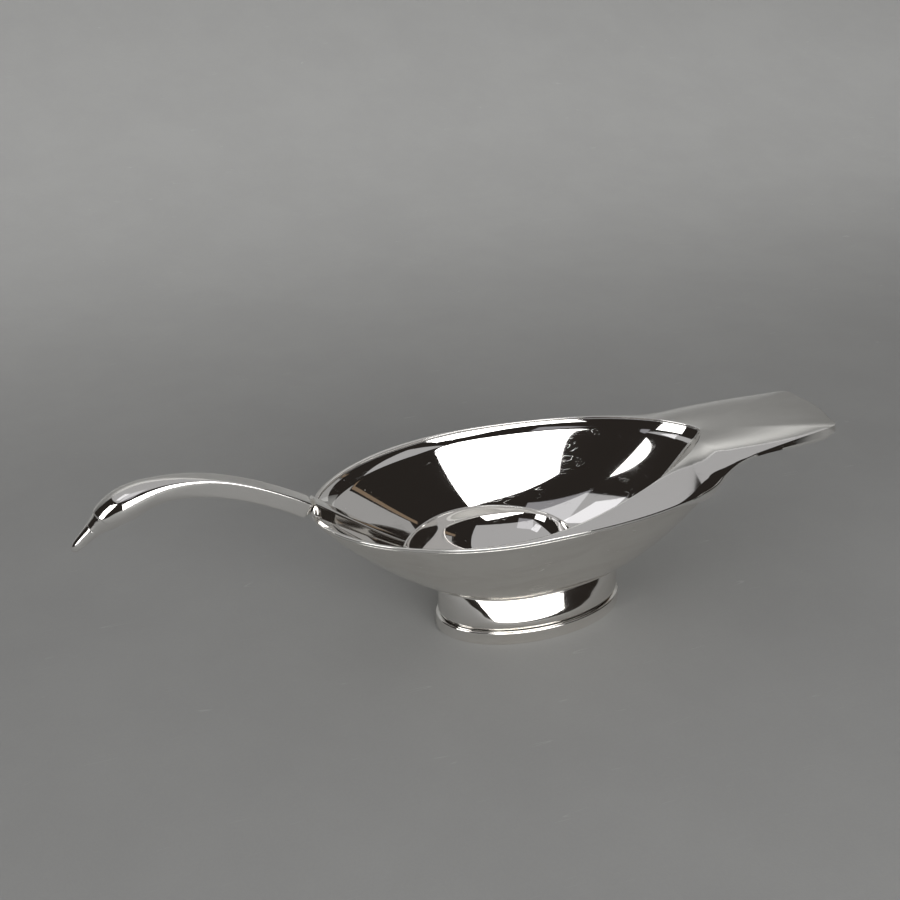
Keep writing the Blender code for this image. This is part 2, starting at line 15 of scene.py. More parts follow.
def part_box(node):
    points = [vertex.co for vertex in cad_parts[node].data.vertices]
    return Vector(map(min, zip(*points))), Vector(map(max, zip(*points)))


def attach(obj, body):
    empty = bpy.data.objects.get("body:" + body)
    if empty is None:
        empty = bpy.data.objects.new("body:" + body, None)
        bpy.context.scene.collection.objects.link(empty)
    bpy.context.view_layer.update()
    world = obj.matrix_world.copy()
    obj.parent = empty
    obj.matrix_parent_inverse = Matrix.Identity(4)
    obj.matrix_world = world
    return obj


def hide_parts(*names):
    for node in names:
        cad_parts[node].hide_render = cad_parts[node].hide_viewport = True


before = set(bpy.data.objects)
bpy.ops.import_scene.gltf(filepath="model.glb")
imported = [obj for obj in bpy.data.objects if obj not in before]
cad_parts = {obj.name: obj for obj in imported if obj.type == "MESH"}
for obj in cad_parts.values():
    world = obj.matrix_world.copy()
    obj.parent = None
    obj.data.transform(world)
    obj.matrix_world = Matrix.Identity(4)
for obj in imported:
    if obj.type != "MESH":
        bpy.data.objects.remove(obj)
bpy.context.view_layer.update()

MM = 0.001
GAP = 0.3
SHEET = 0.8
PLATE = 0.9

# Opening of the bowl and the rim round it
OPENING_NOSE_X = -94.0
OPENING_WIDEST_X = -18.0
OPENING_REAR_X = 80.0
OPENING_HALF_WIDTH = 48.4
RIM_Z = 67.8
RIM_RISE = 8.6
RIM_RISE_START_X = -70.0
RIM_WIDTH = 2.1

# Hull and lining
HULL_REAR_X = 88.0
HULL_BOTTOM_Z = 19.0
BOWL_FLOOR_Z = 21.5
BOWL_CENTRE_X = -5.0
LIP_HEIGHT = 4.0
LIP_INSET = 2.2
LIP_NOSE_INSET = 5.6
LIP_CURVE = 1.3

# Wings and tail
WING_END_X = 66.0
WING_EDGE_Z = 68.6
WING_CROWN = 1.0
WING_BROAD = 20.0
TAIL_ROOT_X = 86.0
TAIL_ROOT_HALF = 27.3
TAIL_ROOT_Z = 73.6
TAIL_TIP_X = 141.5
TAIL_TIP_Z = 77.5
TAIL_END_HALF = 21.0
TAIL_CORNER = 8.5
TAIL_END_BOW = 2.0
TAIL_SIDE_TURN = 5.0
TAIL_END_TURN = 2.4
EDGE_TURN = 1.0
EDGE_RADIUS = 0.35
EDGE_SEAM = 0.08
FOLD_RADIUS = 0.45
SHOULDER_X = 68.0
SHOULDER_REACH = 24.0
SHOULDER_RADIUS = 4.4
SKIRT_FLARE = 0.55
SKIRT_FLARE_START = 12.0
WING_BLEND = 4.0
ROOT_BLEND = 9.0
LEAST_TURN = 0.1
LEAST_SKIRT = 0.02

# Run of the opening (second) met by each run of the outer edge (first), past the wing's end
FAN_WING = (0.46, 0.90)
FAN_TAIL = ((0.8, 0.965), (1.0, 1.0))

# Foot
FOOT_HALF_LENGTH = 43.2
FOOT_HALF_WIDTH = 24.7
COLLAR_ROOT_OUT = 0.9
COLLAR_ROOT_RISE = 0.3
COLLAR_THICK = 2.0
COLLAR_TOP = 0.2

# Ladle
LADLE_NOSE_X = -57.0
LADLE_WIDEST_X = -13.0
LADLE_REAR_X = 20.6
LADLE_HALF_WIDTH = 28.2
LADLE_DEPTH = 16.0
LADLE_DIP = 0.12
LADLE_SHEET = 1.1

# Ladle stem: half sizes at the neck and at the bowl, and where its line runs
STEM_STEPS = 120
STEM_SIDES = 96
STEM_HALF_WIDE = (4.1, 2.0)
STEM_HALF_HIGH = (3.0, 1.6)
STEM_SQUARENESS = 0.32
STEM_START_RISE = 5.1
STEM_OVER_RIM_IN = 4.0
STEM_OVER_RIM_RISE = 0.9
STEM_END_RISE = 1.6
STEM_SAG_SHARE = 0.6
STEM_SAG = 1.5

# Facets
ROUND = 288
WALL_ROWS = 72
LIP_ROWS = 9
LADLE_ROWS = 48
PLATE_STATIONS = 420
OPENING_STEPS = 800
OUTLINE_STEPS = 400
ROOT_STEPS = 40
TAIL_SIDE_STEPS = 60
CORNER_STEPS = 24
TAIL_END_STEPS = 30
FOLD_STEPS = 16
BEND_STEPS = 10
DECK_STEPS = 26
BACK_STEPS = 12
UNDERSIDE_STEPS = 2000
BEAD_STEPS = 7
COLLAR_STEPS = 12
SWEEP_STEPS = 24
WALL_FINE_ROWS = 49

# Angle below which neighbouring facets are shaded as one surface, in degrees
SHADE_ANGLE = 38.0
CAST_SHADE_ANGLE = 60.0

Outline = namedtuple("Outline", "nose widest rear half front back")
Profile = namedtuple("Profile", "front side rear")

# An end's curve is (power, exponent): half width = half * (1 - share ** power) ** exponent
OPENING = Outline(OPENING_NOSE_X, OPENING_WIDEST_X, OPENING_REAR_X, OPENING_HALF_WIDTH,
                  (2.0, 0.56), (1.6, 0.70))
HULL = Outline(OPENING_NOSE_X - RIM_WIDTH, OPENING_WIDEST_X + RIM_WIDTH, HULL_REAR_X,
               OPENING_HALF_WIDTH + RIM_WIDTH, (2.0, 0.56), (2.0, 0.34))
LADLE = Outline(LADLE_NOSE_X, LADLE_WIDEST_X, LADLE_REAR_X, LADLE_HALF_WIDTH,
                (2.0, 0.85), (2.1, 0.42))

# A wall's curve is (power, exponent): radius share = (1 - depth share ** power) ** (1 / exponent)
HULL_PROFILE = Profile((1.15, 1.8), (1.1, 3.2), (0.6, 3.2))
BOWL_PROFILE = Profile((1.05, 1.75), (1.05, 3.0), (0.85, 2.6))
LADLE_PROFILE = Profile((1.3, 2.4), (1.3, 3.0), (1.3, 3.0))


# ---------------------------------------------------------------- helpers

def mix(a, b, share):
    return a + (b - a) * share


def smooth_step(share):
    share = np.clip(share, 0.0, 1.0)
    return share * share * (3.0 - 2.0 * share)


def bump(at, middle, reach):
    """1 at the middle, falling smoothly to 0 at the reach."""
    return smooth_step(1.0 - np.abs(at - middle) / reach)


def through(stations, at):
    """Values at the places of the smooth curve through (place, value) stations."""
    places = np.array([s[0] for s in stations])
    values = np.array([s[1] for s in stations])
    slopes = np.gradient(values, places)
    slopes[1:-1] = (values[2:] - values[:-2]) / (places[2:] - places[:-2])
    at = np.clip(at, places[0], places[-1])
    i = np.clip(np.searchsorted(places, at, side="right") - 1, 0, len(places) - 2)
    span = places[i + 1] - places[i]
    t = (at - places[i]) / span
    return ((2 * t ** 3 - 3 * t ** 2 + 1) * values[i] + (t ** 3 - 2 * t ** 2 + t) * span * slopes[i]
            + (3 * t ** 2 - 2 * t ** 3) * values[i + 1] + (t ** 3 - t ** 2) * span * slopes[i + 1])


def bezier(a, b, c, d, share):
    """Points on a cubic curve, one row for each share."""
    t = np.asarray(share, float)[:, None]
    a, b, c, d = (np.array(p, float) for p in (a, b, c, d))
    return (1 - t) ** 3 * a + 3 * (1 - t) ** 2 * t * b + 3 * (1 - t) * t ** 2 * c + t ** 3 * d


def ring_turns(steps):
    return 2.0 * math.pi * (np.arange(steps) + 0.5) / steps


def half_width(outline, x):
    ahead = x < outline.widest
    reach = np.where(ahead, outline.widest - outline.nose, outline.rear - outline.widest)
    share = np.clip(np.abs(x - outline.widest) / reach, 0.0, 1.0)
    power = np.where(ahead, outline.front[0], outline.back[0])
    exponent = np.where(ahead, outline.front[1], outline.back[1])
    return outline.half * (1.0 - share ** power) ** exponent


def outline_points(outline, turns):
    """Points of the outline at angles that are 0 at the nose and pi at the rear."""
    middle = 0.5 * (outline.nose + outline.rear)
    x = middle - 0.5 * (outline.rear - outline.nose) * np.cos(turns)
    return x, half_width(outline, x) * np.sign(np.sin(turns))


def wall_curve(profile, outline, centre_x, x, y):
    """The wall's power and exponent towards each rim point."""
    reach = np.where(x > centre_x, outline.rear - centre_x, centre_x - outline.nose)
    along = ((x - centre_x) / reach) ** 2
    across = (y / outline.half) ** 2
    share = along / (along + across)
    ends = [np.where(x > centre_x, profile.rear[k], profile.front[k]) for k in range(2)]
    return [mix(profile.side[k], ends[k], share) for k in range(2)]


def wall_share(curve, depth):
    return np.clip(1.0 - depth ** curve[0], 0.0, 1.0) ** (1.0 / curve[1])


def depth_shares(rows):
    """Depth shares from the rim to just above the floor, closer near the floor."""
    return np.sin(0.5 * math.pi * np.arange(rows) / rows)


def rim_z(x):
    """Height of the opening's edge, which climbs towards the tail."""
    share = (x - RIM_RISE_START_X) / (OPENING_REAR_X - RIM_RISE_START_X)
    return RIM_Z + RIM_RISE * smooth_step(share) ** 1.5


def plate_edge_z(x):
    """Height of the top plate's outer edge."""
    return through(((HULL.nose, RIM_Z), (OPENING_WIDEST_X, mix(RIM_Z, WING_EDGE_Z, 0.8)),
                    (WING_END_X - 6.0, WING_EDGE_Z), (TAIL_ROOT_X, TAIL_ROOT_Z),
                    (TAIL_TIP_X, TAIL_TIP_Z)), x)


# ---------------------------------------------------------------- making pieces

def stand(points):
    """Points of the boat's own frame as metres in the part's frame."""
    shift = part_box("rim_wings_tail")[1].x - TAIL_TIP_X * MM
    return [(p[0] * MM + shift, p[1] * MM, p[2] * MM) for p in points]


def skin(rings, round_section, pole=None):
    """Points and quads of a surface through rings; the section may close on itself."""
    steps = len(rings[0])
    points = [p for ring in rings for p in ring]
    faces = []
    for r in range(len(rings) - (0 if round_section else 1)):
        a = r * steps
        b = ((r + 1) % len(rings)) * steps
        faces += [(a + i, a + (i + 1) % steps, b + (i + 1) % steps, b + i) for i in range(steps)]
    if pole is not None:
        first = len(points) - steps
        points.append(pole)
        faces += [(first + i, first + (i + 1) % steps, len(points) - 1) for i in range(steps)]
    return points, faces


def only(item):
    """Select this piece and nothing else."""
    for other in bpy.context.selected_objects:
        other.select_set(False)
    item.select_set(True)
    bpy.context.view_layer.objects.active = item


def close_and_turn_out(item):
    """Merge doubles, fill any open end and point every face outwards."""
    only(item)
    bpy.ops.object.mode_set(mode='EDIT')
    bpy.ops.mesh.select_all(action='SELECT')
    bpy.ops.mesh.remove_doubles(threshold=1e-6)
    bpy.ops.mesh.select_all(action='DESELECT')
    bpy.ops.mesh.select_mode(type='EDGE')
    bpy.ops.mesh.select_non_manifold()
    bpy.ops.mesh.fill_holes(sides=0)
    bpy.ops.mesh.select_all(action='SELECT')
    bpy.ops.mesh.normals_make_consistent(inside=False)
    bpy.ops.mesh.select_all(action='DESELECT')
    bpy.ops.object.mode_set(mode='OBJECT')


def smooth(item, angle=SHADE_ANGLE):
    only(item)
    bpy.ops.object.shade_smooth_by_angle(angle=math.radians(angle))


def piece(name, points, faces, material, node, body):
    """A shown piece that stands for one node of the part."""
    mesh = bpy.data.meshes.new(name)
    mesh.from_pydata(stand(points), [], faces)
    item = bpy.data.objects.new(name, mesh)
    bpy.context.scene.collection.objects.link(item)
    mesh.materials.append(material)
    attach(item, body)
    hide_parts(node)
    return item


def wall(item, thickness, hollow_up):
    """Give an open cup its sheet, away from the side that shows, with softened edges."""
    mesh = item.data
    lowest = min(mesh.polygons, key=lambda face: face.center.z)
    if (lowest.normal.z > 0.0) != hollow_up:
        mesh.flip_normals()
    only(item)
    sheet = item.modifiers.new("Sheet", 'SOLIDIFY')
    sheet.thickness = thickness * MM
    sheet.offset = -1.0
    sheet.use_even_offset = True
    edge = item.modifiers.new("Edge", 'BEVEL')
    edge.width = 0.3 * thickness * MM
    edge.segments = 3
    edge.limit_method = 'ANGLE'
    edge.angle_limit = math.radians(60.0)
    for name in ("Sheet", "Edge"):
        bpy.ops.object.modifier_apply(modifier=name)
    smooth(item)


# ---------------------------------------------------------------- boat

def hull_edge_z(x, y):
    """The hull's edge, just under the plate's turned-down edge, and behind the
    wings up to the underside of the tail."""
    seat = np.minimum(plate_edge_z(x), WING_EDGE_Z) - EDGE_TURN - EDGE_SEAM
    climb = TAIL_ROOT_Z - WING_EDGE_Z
    crown = (RIM_Z + RIM_RISE - TAIL_ROOT_Z) * (1.0 - (y / TAIL_ROOT_HALF) ** 2)
    return seat + smooth_step((x - WING_END_X) / (HULL_REAR_X - WING_END_X)) * (climb + crown)


def hull_skin(material):
    x, y = outline_points(HULL, ring_turns(ROUND))
    curve = wall_curve(HULL_PROFILE, HULL, BOWL_CENTRE_X, x, y)
    rings = []
    for depth in depth_shares(WALL_ROWS):
        share = wall_share(curve, depth)
        z = mix(hull_edge_z(x, y), HULL_BOTTOM_Z, depth)
        rings.append(list(zip(mix(BOWL_CENTRE_X, x, share), y * share, z)))
    points, faces = skin(rings, False, (BOWL_CENTRE_X, 0.0, HULL_BOTTOM_Z))
    item = piece("hull_skin", points, faces, material, "hull_shell", "boat")
    wall(item, SHEET, False)


def lip_share(x, y):
    """Radius share left inside the flared lip, which leans most at the nose."""
    radius = np.hypot(x - BOWL_CENTRE_X, y)
    forward = np.clip(BOWL_CENTRE_X - x, 0.0, None) / radius
    return 1.0 - mix(LIP_INSET, LIP_NOSE_INSET, forward ** 2) / radius


def bowl_lining(material):
    """The bowl that holds the sauce: a flared lip under the rim, then the wall."""
    x, y = outline_points(OPENING, ring_turns(ROUND))
    curve = wall_curve(BOWL_PROFILE, OPENING, BOWL_CENTRE_X, x, y)
    edge = rim_z(x) - PLATE
    left = lip_share(x, y)
    rings = []
    for down in np.linspace(0.0, 1.0, LIP_ROWS)[:-1]:
        share = mix(1.0, left, down ** LIP_CURVE)
        rings.append(list(zip(mix(BOWL_CENTRE_X, x, share), y * share, edge - LIP_HEIGHT * down)))
    for depth in depth_shares(WALL_ROWS):
        share = wall_share(curve, depth) * left
        z = mix(edge - LIP_HEIGHT, BOWL_FLOOR_Z, depth)
        rings.append(list(zip(mix(BOWL_CENTRE_X, x, share), y * share, z)))
    points, faces = skin(rings, False, (BOWL_CENTRE_X, 0.0, BOWL_FLOOR_Z))
    item = piece("bowl_lining", points, faces, material, "inner_bowl", "boat")
    wall(item, SHEET, True)


def plate_outline():
    """Outer edge of the top plate, y >= 0, from the nose to the tail's tip."""
    turns = np.linspace(0.0, math.pi, OUTLINE_STEPS)
    x, y = outline_points(HULL, turns)
    wing = np.stack([x, y], 1)[x < WING_END_X]
    last = (WING_END_X, float(half_width(HULL, WING_END_X)))
    ahead = (WING_END_X + WING_BLEND, float(half_width(HULL, WING_END_X + WING_BLEND)))
    root = (TAIL_ROOT_X, TAIL_ROOT_HALF)
    corner = (TAIL_TIP_X - TAIL_END_BOW - TAIL_CORNER, TAIL_END_HALF)
    taper = (corner[1] - root[1]) / (corner[0] - root[0])
    before = (root[0] - ROOT_BLEND, root[1] - ROOT_BLEND * taper)
    turned = (TAIL_TIP_X - TAIL_END_BOW, TAIL_END_HALF - TAIL_CORNER)
    square = (TAIL_TIP_X - TAIL_END_BOW, TAIL_END_HALF + taper * TAIL_CORNER)
    neck = bezier(last, ahead, before, root, np.arange(ROOT_STEPS) / ROOT_STEPS)
    side = np.array([mix(np.array(root), np.array(corner), s)
                     for s in np.arange(TAIL_SIDE_STEPS) / TAIL_SIDE_STEPS])
    round_off = bezier(corner, square, square, turned, np.arange(CORNER_STEPS) / CORNER_STEPS)
    rest = 1.0 - np.linspace(0.0, 1.0, TAIL_END_STEPS)
    end = np.stack([turned[0] + TAIL_END_BOW * (1.0 - rest ** 2), turned[1] * rest], 1)
    return np.concatenate([wing, neck, side, round_off, end])


def evenly(points, count):
    """The same line with evenly spaced points."""
    run = np.concatenate([[0.0], np.cumsum(np.hypot(*np.diff(points, axis=0).T))])
    at = (np.arange(count) + 0.5) / count * run[-1]
    return np.stack([np.interp(at, run, points[:, k]) for k in range(2)], 1)


def plate_section(length, radius, down, flare):
    """Distance from the opening and drop below the deck, once round the sheet."""
    quarter = np.linspace(0.0, 0.5 * math.pi, BEND_STEPS)
    half = np.linspace(0.0, math.pi, FOLD_STEPS)
    fold = [(FOLD_RADIUS * (1.0 - math.sin(a)), FOLD_RADIUS * (1.0 + math.cos(a))) for a in half]
    deck = [(mix(FOLD_RADIUS, length - radius, smooth_step(s)), 0.0)
            for s in np.linspace(0.0, 1.0, DECK_STEPS)[1:-1]]
    outer = [(length - radius + radius * math.sin(a), radius * (1.0 - math.cos(a))) for a in quarter]
    skirt = [(length, mix(radius, down, s)) for s in (0.33, 0.66, 0.95)]
    edge = [(length - 0.15 * PLATE, down), (length - 0.85 * PLATE, down), (length - PLATE, 0.97 * down)]
    turn = min(max(radius - PLATE, LEAST_TURN), max(0.97 * down - PLATE, LEAST_SKIRT))
    inner = [(length - PLATE - turn + turn * math.cos(a), PLATE + turn * (1.0 - math.sin(a)))
             for a in quarter]
    back = [(mix(length - PLATE - turn, FOLD_RADIUS, s), PLATE)
            for s in np.linspace(0.0, 1.0, BACK_STEPS)[1:-1]]
    turned = [(out - flare * max(down - drop, 0.0), drop) for out, drop in outer + skirt + edge + inner]
    return fold + deck + turned + back


def edge_turn_down(x):
    """How far the plate's edge is turned down at x."""
    side = smooth_step((x - TAIL_ROOT_X) / (TAIL_TIP_X - TAIL_CORNER - TAIL_ROOT_X))
    end = smooth_step((x - TAIL_TIP_X + TAIL_END_BOW + TAIL_CORNER) / (TAIL_END_BOW + TAIL_CORNER))
    return mix(mix(EDGE_TURN, TAIL_SIDE_TURN, side), TAIL_END_TURN, end)


def rim_wings_tail_plate(material):
    edge = evenly(plate_outline(), PLATE_STATIONS)
    x, y = outline_points(OPENING, np.linspace(0.0, math.pi, OPENING_STEPS))
    opening = np.stack([x, y], 1)
    run = np.concatenate([[0.0], np.cumsum(np.hypot(*np.diff(opening, axis=0).T))])
    share = (np.arange(len(edge)) + 0.5) / len(edge)
    wing_share = float(np.interp(WING_END_X, edge[:, 0], share))
    fan = through(((0.0, 0.0), (0.5 * wing_share, FAN_WING[0]), (wing_share, FAN_WING[1])) + FAN_TAIL,
                  share)
    inner = np.stack([np.interp(fan * run[-1], run, opening[:, k]) for k in range(2)], 1)
    sections = []
    for (ix, iy), (ox, oy) in zip(inner, edge):
        length = math.hypot(ox - ix, oy - iy)
        shoulder = float(bump(ox, SHOULDER_X, SHOULDER_REACH))
        radius = mix(EDGE_RADIUS, SHOULDER_RADIUS, shoulder)
        down = max(float(edge_turn_down(ox)), radius + EDGE_TURN - EDGE_RADIUS)
        ring = []
        flare = SKIRT_FLARE * float(smooth_step((ox - TAIL_ROOT_X) / SKIRT_FLARE_START))
        for out, drop in plate_section(length, radius, down, flare):
            at = out / length
            crown = WING_CROWN * 4.0 * at * (1.0 - at) * min(length / WING_BROAD, 1.0)
            z = mix(float(rim_z(ix)), float(plate_edge_z(ox)), at) + crown - drop
            ring.append((mix(ix, ox, at), mix(iy, oy, at), z))
        sections.append(ring)
    sections += [[(px, -py, pz) for px, py, pz in ring] for ring in reversed(sections)]
    points, faces = skin(sections, True)
    item = piece("rim_wings_tail_plate", points, faces, material, "rim_wings_tail", "boat")
    close_and_turn_out(item)
    smooth(item)


# ---------------------------------------------------------------- foot

def foot_ring(end_inset, side_inset, height):
    """A ring of the foot; height is a number or follows the hull."""
    turns = ring_turns(ROUND)
    x = -(FOOT_HALF_LENGTH - end_inset) * np.cos(turns)
    y = (FOOT_HALF_WIDTH - side_inset) * np.sin(turns)
    z = height(x, y) if callable(height) else np.full(len(x), height)
    return list(zip(x, y, z))


def hull_underside_z(x, y):
    """Height of the hull's outside over the points (x, y)."""
    turns = np.linspace(0.0, math.pi, UNDERSIDE_STEPS)
    ox, oy = outline_points(HULL, turns)
    bearings = np.arctan2(oy, ox - BOWL_CENTRE_X)[::-1]
    wanted = np.arctan2(np.abs(y), x - BOWL_CENTRE_X)
    turn = np.interp(wanted, bearings, turns[::-1])
    ox, oy = outline_points(HULL, turn)
    curve = wall_curve(HULL_PROFILE, HULL, BOWL_CENTRE_X, ox, oy)
    share = np.hypot(x - BOWL_CENTRE_X, y) / np.hypot(ox - BOWL_CENTRE_X, oy)
    depth = (1.0 - share ** curve[1]) ** (1.0 / curve[0])
    return mix(hull_edge_z(ox, oy), HULL_BOTTOM_Z, depth)


BAND_SECTION = ((0.0, 0.5), (0.0, 1.2), (0.0, 3.0), (0.0, 5.0), (0.06, 5.6), (0.25, 6.0), (0.55, 6.2),
                (2.6, 6.2), (2.6, 0.2), (0.6, 0.0), (0.2, 0.12))


def foot_base_band(material):
    rings = [foot_ring(inset, inset, z) for inset, z in BAND_SECTION]
    points, faces = skin(rings, True)
    item = piece("foot_band", points, faces, material, "foot_base_band", "boat")
    close_and_turn_out(item)
    smooth(item)


# Foot wall's outside from its bottom: share of its height, inset at the ends, inset at the sides
WALL_SECTION = ((0.00, 1.9, 1.9), (0.05, 1.45, 1.45), (0.09, 1.2, 1.25), (0.14, 1.12, 1.2),
                (0.19, 1.15, 1.25), (0.27, 1.10, 1.5), (0.40, 0.95, 2.2), (0.55, 0.90, 3.1),
                (0.70, 1.0, 4.0), (0.85, 1.35, 4.9), (0.97, 1.8, 5.6), (1.00, 2.0, 5.8))
WALL_BASE_Z = 6.5
WALL_THICK = 1.2
COLLAR_DROP = 2.6
COLLAR_OUT = 0.35


def foot_wall_ring(material):
    fine = np.linspace(0.0, 1.0, WALL_FINE_ROWS)
    ends = through([(s, e) for s, e, _ in WALL_SECTION], fine)
    sides = through([(s, w) for s, _, w in WALL_SECTION], fine)

    def top(x, y):
        return hull_underside_z(x, y) - COLLAR_DROP

    rings = [foot_ring(e, w, lambda x, y, s=s: mix(WALL_BASE_Z, top(x, y), s))
             for s, e, w in zip(fine, ends, sides)]
    rings += [foot_ring(ends[-1] + WALL_THICK, sides[-1] + WALL_THICK, top),
              foot_ring(ends[0] + WALL_THICK, sides[0] + WALL_THICK, WALL_BASE_Z)]
    points, faces = skin(rings, True)
    item = piece("foot_wall_ring", points, faces, material, "foot_wall", "boat")
    close_and_turn_out(item)
    smooth(item)


def foot_collar_ring(material):
    """A thin bead, then a hollow sweep up into the hull."""
    end, side = WALL_SECTION[-1][1], WALL_SECTION[-1][2]
    rings = []
    for a in np.linspace(-0.5, 0.5, BEAD_STEPS) * math.pi:
        out = COLLAR_OUT * math.cos(a)
        up = COLLAR_OUT * (1.0 + math.sin(a))
        rings.append(foot_ring(end - out, side - out,
                               lambda x, y, up=up: hull_underside_z(x, y) - COLLAR_DROP + up))
    for a in np.linspace(0.0, 0.5, COLLAR_STEPS)[1:] * math.pi:
        out = -COLLAR_ROOT_OUT * math.sin(a)
        up = mix(2 * COLLAR_OUT, COLLAR_DROP + COLLAR_ROOT_RISE, 1.0 - math.cos(a))
        rings.append(foot_ring(end - out, side - out,
                               lambda x, y, up=up: hull_underside_z(x, y) - COLLAR_DROP + up))
    end += COLLAR_THICK
    side += COLLAR_THICK
    rings.append(foot_ring(end, side, lambda x, y: hull_underside_z(x, y) + COLLAR_TOP))
    rings.append(foot_ring(end, side, lambda x, y: hull_underside_z(x, y) - COLLAR_DROP))
    points, faces = skin(rings, True)
    item = piece("foot_collar_ring", points, faces, material, "foot_collar", "boat")
    close_and_turn_out(item)
    smooth(item)


# ---------------------------------------------------------------- ladle

def ladle_rest_z():
    """Height of the ladle bowl's rim over its widest point."""
    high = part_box("ladle_bowl")[1].z / MM
    return high + LADLE_DIP * (LADLE_NOSE_X - LADLE_WIDEST_X)


def ladle_cup(material):
    rest_z = ladle_rest_z()
    x, y = outline_points(LADLE, ring_turns(ROUND))
    curve = wall_curve(LADLE_PROFILE, LADLE, LADLE_WIDEST_X, x, y)
    rings = []
    for depth in depth_shares(LADLE_ROWS):
        share = wall_share(curve, depth)
        px = mix(LADLE_WIDEST_X, x, share)
        z = rest_z - LADLE_DIP * (px - LADLE_WIDEST_X) - LADLE_DEPTH * depth
        rings.append(list(zip(px, y * share, z)))
    points, faces = skin(rings, False, (LADLE_WIDEST_X, 0.0, rest_z - LADLE_DEPTH))
    item = piece("ladle_cup", points, faces, material, "ladle_bowl", "ladle")
    wall(item, LADLE_SHEET, True)


def sweep(path, half_wide, half_high, squareness, sides):
    """Rings along a path in the middle plane, each a rounded section."""
    ahead = np.gradient(path, axis=0)
    ahead /= np.linalg.norm(ahead, axis=1)[:, None]
    turns = ring_turns(sides)
    rings = []
    for (x, z), (ax, az), wide, high, square in zip(path, ahead, half_wide, half_high, squareness):
        c = np.sign(np.cos(turns)) * np.abs(np.cos(turns)) ** square
        s = np.sign(np.sin(turns)) * np.abs(np.sin(turns)) ** square
        rings.append(np.stack([x + az * high * s, wide * c, z - ax * high * s], 1))
    return rings


def ladle_stem_bar(material):
    """Tapered bar from the neck over the rim and down to the ladle bowl."""
    rest_z = ladle_rest_z()
    start = (HULL.nose - GAP, RIM_Z + GAP + STEM_START_RISE)
    over_rim = (OPENING_NOSE_X + STEM_OVER_RIM_IN, RIM_Z + GAP + STEM_OVER_RIM_RISE)
    end_x = LADLE_NOSE_X - LADLE_SHEET - GAP
    end = (end_x, rest_z + LADLE_DIP * (LADLE_WIDEST_X - end_x) + STEM_END_RISE)
    into_bowl = (mix(over_rim[0], end[0], STEM_SAG_SHARE),
                 mix(over_rim[1], end[1], STEM_SAG_SHARE) - STEM_SAG)
    share = np.linspace(0.0, 1.0, STEM_STEPS)
    path = bezier(start, over_rim, into_bowl, end, share)
    rings = sweep(path, mix(*STEM_HALF_WIDE, share), mix(*STEM_HALF_HIGH, share),
                  np.full(STEM_STEPS, STEM_SQUARENESS), STEM_SIDES)
    points, faces = skin([list(map(tuple, ring)) for ring in rings], False)
    item = piece("ladle_stem_bar", points, faces, material, "ladle_stem", "ladle")
    close_and_turn_out(item)
    smooth(item)


NECK_MARKS = ((-97.6, 72.4), (-114.5, 83.0), (-132.0, 91.6), (-150.0, 91.6),
              (-164.0, 91.6), (-175.0, 84.8), (-188.2, 71.8))
NECK_HALF_THICKNESS = (
    (0.00, 3.0), (0.006, 3.4), (0.015, 3.5), (0.16, 3.5), (0.35, 3.8), (0.54, 5.1),
    (0.64, 6.3), (0.72, 6.8),
    (0.79, 6.3), (0.83, 5.6), (0.86, 4.6), (0.89, 3.7), (0.94, 2.7), (0.97, 2.2), (0.985, 1.8),
    (0.995, 1.25), (1.00, 0.6))

# Neck section: squarish and broad at the boat, round at the head
NECK_STEPS = 480
NECK_SIDES = 192
NECK_BROAD = 1.15
NECK_BROAD_END = 0.35
NECK_SQUARENESS = 0.20
NECK_SQUARE_START = 0.28
NECK_SQUARE_REACH = 0.36

# Brow and cheek ridge: angle up from the side in degrees, place along the neck, softness
HEAD_RIDGE = ((-90.0, 0.70, 0.10), (-45.0, 0.70, 0.10), (-26.0, 0.70, 0.07), (-20.0, 0.715, 0.02),
              (-14.0, 0.765, 0.006), (5.0, 0.815, 0.005), (30.0, 0.822, 0.005), (52.0, 0.828, 0.005),
              (90.0, 0.832, 0.005))
RIDGE_DEPTH = 0.55
RIDGE_FADE = (0.86, 0.12)
BILL_LINE = 0.888
BILL_LINE_DEPTH = 0.14
BILL_LINE_WIDTH = 0.004


def neck_path(count):
    half = count // 2
    return np.concatenate([bezier(*NECK_MARKS[0:4], np.arange(half) / half),
                           bezier(*NECK_MARKS[3:7], np.arange(half + 1) / half)])


def head_relief(share, angles):
    """How far the head's skin is let in at each place: behind the brow it is 0."""
    up = np.degrees(np.arcsin(np.sin(angles)))
    ridge = np.array(HEAD_RIDGE)
    place = np.interp(up, ridge[:, 0], ridge[:, 1])
    soft = np.interp(up, ridge[:, 0], ridge[:, 2])
    beyond = smooth_step((share[:, None] - place) / soft)
    blend = 1.0 - smooth_step((share - RIDGE_FADE[0]) / RIDGE_FADE[1])
    line = bump(share, BILL_LINE, BILL_LINE_WIDTH)
    return RIDGE_DEPTH * beyond * blend[:, None] + BILL_LINE_DEPTH * line[:, None]


